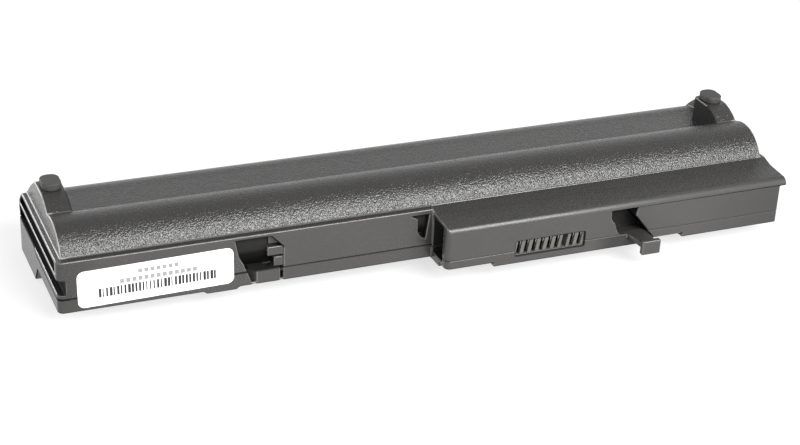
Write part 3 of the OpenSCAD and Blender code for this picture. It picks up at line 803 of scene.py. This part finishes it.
class BATTERY_OT_inside(bpy.types.Operator):
    """Gives the cells, strips, foam, board and leads their finishes."""

    bl_idname = "battery.inside"
    bl_label = "Finish the inside"

    def execute(self, context):
        finishes = [(names, speckled(*finish)) for names, *finish in INSIDE_FINISHES]
        for lead, colour in LEAD_COLOURS.items():
            finishes.append(([lead], speckled(lead + "_sleeve", colour, *LEAD_FINISH)))
        for names, material in finishes:
            for name in names:
                put_on(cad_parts[name], material)
        return {"FINISHED"}


def add_softbox(name, azimuth, elevation, width, height, brightness):
    """An area light of even brightness, its place given by two angles in degrees, that
    looks at the object."""
    data = bpy.data.lights.new(name, "AREA")
    data.shape = "RECTANGLE"
    data.size = width
    data.size_y = height
    data.energy = brightness * math.pi * width * height
    light = bpy.data.objects.new(name, data)
    bpy.context.scene.collection.objects.link(light)
    a, e = math.radians(azimuth), math.radians(elevation)
    outwards = Vector((math.sin(a) * math.cos(e), -math.cos(a) * math.cos(e), math.sin(e)))
    light.location = LIGHT_DISTANCE * outwards
    direction = LIGHT_TARGET - light.location
    light.rotation_euler = direction.to_track_quat("-Z", "Y").to_euler()


class BATTERY_OT_stage(bpy.types.Operator):
    """Sets up the floor, the room, the lights and the camera."""

    bl_idname = "battery.stage"
    bl_label = "Set the stage"

    def execute(self, context):
        stage = settings().stage
        self.floor()
        self.room()
        for *light, setting in SOFTBOXES:
            add_softbox(*light, getattr(stage, setting))
        self.camera(stage)
        return {"FINISHED"}

    def floor(self):
        """A matte floor that catches the shadow, and that the camera sees nearly white."""
        bpy.ops.mesh.primitive_plane_add(size=FLOOR_SIZE, location=(0, 0, 0))
        floor = bpy.context.object
        floor.name = "floor"
        material, finish = new_material("white_table")
        matte = finish.node("ShaderNodeBsdfDiffuse", None, {"Color": FLOOR_COLOUR})
        glow = finish.node("ShaderNodeEmission", None, {"Color": WHITE, "Strength": 1.0})
        path = finish.make("ShaderNodeLightPath")
        by_camera = Value(finish, path.outputs["Is Camera Ray"])
        in_gloss = Value(finish, path.outputs["Is Glossy Ray"])
        seen = (by_camera + in_gloss) * FLOOR_GLOW
        mixed = finish.node("ShaderNodeMixShader", None, {0: seen, 1: matte, 2: glow})
        finish.make("ShaderNodeOutputMaterial", None, {"Surface": mixed})
        put_on(floor, material)

    def room(self):
        """A pale room, darker at the ceiling, that the camera sees as white."""
        world = bpy.data.worlds.new("studio")
        bpy.context.scene.world = world
        finish = Finish(world)
        height = finish.axes(finish.node("ShaderNodeTexCoord", output="Generated"))[2]
        tone = finish.node("ShaderNodeValToRGB", {"stops": ROOM_STOPS}, {"Fac": height})
        room = finish.node("ShaderNodeBackground", None, {"Color": tone, "Strength": 1.0})
        white = finish.node("ShaderNodeBackground", None, {"Color": WHITE, "Strength": 1.0})
        seen = finish.node("ShaderNodeLightPath", output="Is Camera Ray")
        mixed = finish.node("ShaderNodeMixShader", None, {0: seen, 1: room, 2: white})
        finish.make("ShaderNodeOutputWorld", None, {"Surface": mixed})

    def camera(self, stage):
        """The camera where the photograph was taken from."""
        data = bpy.data.cameras.new("camera")
        data.lens = stage.lens
        data.sensor_width = SENSOR_WIDTH
        data.clip_start = CLIP_START
        a, e = stage.azimuth, stage.elevation
        right = Vector((math.cos(a), -math.sin(a), 0))
        up = Vector((math.sin(a) * math.sin(e), math.cos(a) * math.sin(e), math.cos(e)))
        c, s = math.cos(stage.roll), math.sin(stage.roll)
        right, up = c * right + s * up, c * up - s * right
        back = right.cross(up)
        turn = Matrix((right, up, back)).transposed().to_4x4()
        camera = bpy.data.objects.new("camera", data)
        camera.matrix_world = Matrix.Translation(stage.eye) @ turn
        bpy.context.scene.collection.objects.link(camera)
        bpy.context.scene.camera = camera


OPERATORS = (
    BATTERY_OT_case, BATTERY_OT_label, BATTERY_OT_feet, BATTERY_OT_connector,
    BATTERY_OT_inside, BATTERY_OT_stage,
)


class BATTERY_PT_panel(bpy.types.Panel):
    """Lists the battery's pieces."""

    bl_idname = "BATTERY_PT_panel"
    bl_label = "Battery"
    bl_space_type = "VIEW_3D"
    bl_region_type = "UI"
    bl_category = "Battery"

    def draw(self, context):
        for operator in OPERATORS:
            self.layout.operator(operator.bl_idname)


CLASSES = (
    CaseSettings, LabelSettings, FootSettings, ConnectorSettings, StageSettings,
    BatterySettings,
) + OPERATORS + (BATTERY_PT_panel,)


def register():
    for cls in CLASSES:
        bpy.utils.register_class(cls)
    bpy.types.Scene.battery = bpy.props.PointerProperty(type=BatterySettings)


def unregister():
    del bpy.types.Scene.battery
    for cls in reversed(CLASSES):
        bpy.utils.unregister_class(cls)


def main():
    register()
    scene = bpy.context.scene
    scene.view_settings.view_transform = "Standard"
    bpy.ops.battery.stage()
    bpy.ops.battery.case()
    bpy.ops.battery.label()
    bpy.ops.battery.feet()
    bpy.ops.battery.connector()
    bpy.ops.battery.inside()


if __name__ == "__main__":
    main()
